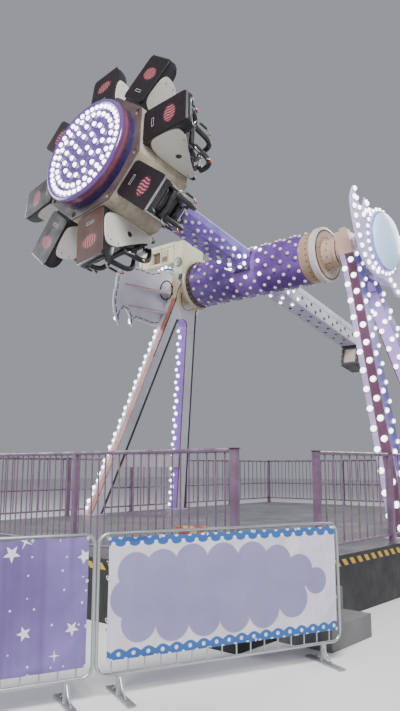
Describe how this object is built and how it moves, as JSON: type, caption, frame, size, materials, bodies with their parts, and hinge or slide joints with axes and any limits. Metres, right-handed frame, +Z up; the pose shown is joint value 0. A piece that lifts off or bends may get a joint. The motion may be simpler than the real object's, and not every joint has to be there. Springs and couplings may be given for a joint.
{
  "type": "pendulum swing ride",
  "caption": "Fairground pendulum ride: a long arm swings round a drum between two splayed towers, with a spinning ring of outward seats at one end and a counterweight at the other.",
  "frame": {"origin": "on the ground, straight below the middle of the swinging arm on the shaft's line", "axes": "+X along the shaft from the drive's tower to the other, -Y towards the fence in front, +Z up"},
  "size_m": [7.4152, 13.124, 7.4238],
  "materials": {
    "base_steel": "matte",
    "deck_plate": "matte",
    "skirt_panel": "matte",
    "railing_paint": "satin",
    "step_plate": "matte",
    "tower_white": "satin",
    "tower_stripes": "satin",
    "tie_paint": "satin",
    "panel_paint": "satin",
    "sign_face": "gloss",
    "bearing_paint": "satin",
    "housing_cream": "satin",
    "drum_purple": "satin",
    "flange_steel": "satin",
    "hoop_ring": "satin",
    "axle_beige": "satin",
    "arm_violet": "satin",
    "arm_white": "satin",
    "counterweight_paint": "satin",
    "gondola_paint": "satin",
    "disc_purple": "satin",
    "seat_shell": "satin",
    "restraint_pad": "matte",
    "galvanised": "satin",
    "banner_fabric": "matte",
    "starry_fabric": "matte"
  },
  "bodies": {
    "root": {"left_base_beam": "base_steel", "right_base_beam": "base_steel", "cross_beam": "base_steel", "deck": "deck_plate", "front_skirt": "skirt_panel", "back_skirt": "skirt_panel", "left_skirt": "skirt_panel", "right_skirt": "skirt_panel", "front_railing": "railing_paint", "back_railing": "railing_paint", "left_railing": "railing_paint", "right_railing": "railing_paint", "entry_steps": "step_plate", "left_front_leg": "tower_white", "left_back_leg": "tower_white", "left_head": "tower_white", "left_cross_tie": "tie_paint", "left_burst_panel": "panel_paint", "left_round_sign": "sign_face", "left_bearing": "bearing_paint", "right_front_leg": "tower_stripes", "right_back_leg": "tower_stripes", "right_head": "tower_stripes", "right_cross_tie": "tie_paint", "right_burst_panel": "panel_paint", "right_round_sign": "sign_face", "right_bearing": "bearing_paint", "gear_case": "housing_cream", "motor_housing": "housing_cream", "banner_barrier": "galvanised", "banner_cloth": "banner_fabric", "starry_barrier": "galvanised", "starry_cloth": "starry_fabric"},
    "swing": {"drum": "drum_purple", "drum_flange": "flange_steel", "drum_ring": "hoop_ring", "left_axle": "axle_beige", "right_axle": "axle_beige", "gondola_arm": "arm_violet", "counterweight_arm": "arm_white", "counterweight": "counterweight_paint"},
    "gondola": {"gondola_frame": "gondola_paint", "lamp_disc": "disc_purple", "seat_1": "seat_shell", "seat_2": "seat_shell", "seat_3": "seat_shell", "seat_4": "seat_shell", "seat_5": "seat_shell", "seat_6": "seat_shell", "seat_7": "seat_shell", "seat_8": "seat_shell"},
    "restraint_1": {"restraint_1": "restraint_pad"},
    "restraint_2": {"restraint_2": "restraint_pad"},
    "restraint_3": {"restraint_3": "restraint_pad"},
    "restraint_4": {"restraint_4": "restraint_pad"},
    "restraint_5": {"restraint_5": "restraint_pad"},
    "restraint_6": {"restraint_6": "restraint_pad"},
    "restraint_7": {"restraint_7": "restraint_pad"},
    "restraint_8": {"restraint_8": "restraint_pad"}
  },
  "joints": [
    {"name": "arm_swing", "type": "hinge", "parent": "root", "child": "swing", "pos_m": [0, 0, 5], "axis": [1, 0, 0], "continuous": true},
    {"name": "gondola_spin", "type": "hinge", "parent": "swing", "child": "gondola", "pos_m": [0, -2.31097, 5.47858], "axis": [0, -0.9792, 0.2028], "continuous": true},
    {"name": "restraint_1_hinge", "type": "hinge", "parent": "gondola", "child": "restraint_1", "pos_m": [1.07074, -2.80419, 5.75978], "axis": [-0.1616, 0.2001, 0.9664], "range_deg": [0, 80]},
    {"name": "restraint_2_hinge", "type": "hinge", "parent": "gondola", "child": "restraint_2", "pos_m": [0.63314, -2.66107, 6.45089], "axis": [-0.8121, 0.1183, 0.5714], "range_deg": [0, 80]},
    {"name": "restraint_3_hinge", "type": "hinge", "parent": "gondola", "child": "restraint_3", "pos_m": [-0.17534, -2.62261, 6.63657], "axis": [-0.9869, -0.0328, -0.1582], "range_deg": [0, 80]},
    {"name": "restraint_4_hinge", "type": "hinge", "parent": "gondola", "child": "restraint_4", "pos_m": [-0.88111, -2.71135, 6.20807], "axis": [-0.5835, -0.1647, -0.7952], "range_deg": [0, 80]},
    {"name": "restraint_5_hinge", "type": "hinge", "parent": "gondola", "child": "restraint_5", "pos_m": [-1.07074, -2.8753, 5.41639], "axis": [0.1616, -0.2001, -0.9664], "range_deg": [0, 80]},
    {"name": "restraint_6_hinge", "type": "hinge", "parent": "gondola", "child": "restraint_6", "pos_m": [-0.63314, -3.01842, 4.72528], "axis": [0.8121, -0.1183, -0.5714], "range_deg": [0, 80]},
    {"name": "restraint_7_hinge", "type": "hinge", "parent": "gondola", "child": "restraint_7", "pos_m": [0.17534, -3.05688, 4.53959], "axis": [0.9869, 0.0328, 0.1582], "range_deg": [0, 80]},
    {"name": "restraint_8_hinge", "type": "hinge", "parent": "gondola", "child": "restraint_8", "pos_m": [0.88111, -2.96814, 4.9681], "axis": [0.5835, 0.1647, 0.7952], "range_deg": [0, 80]}
  ]
}
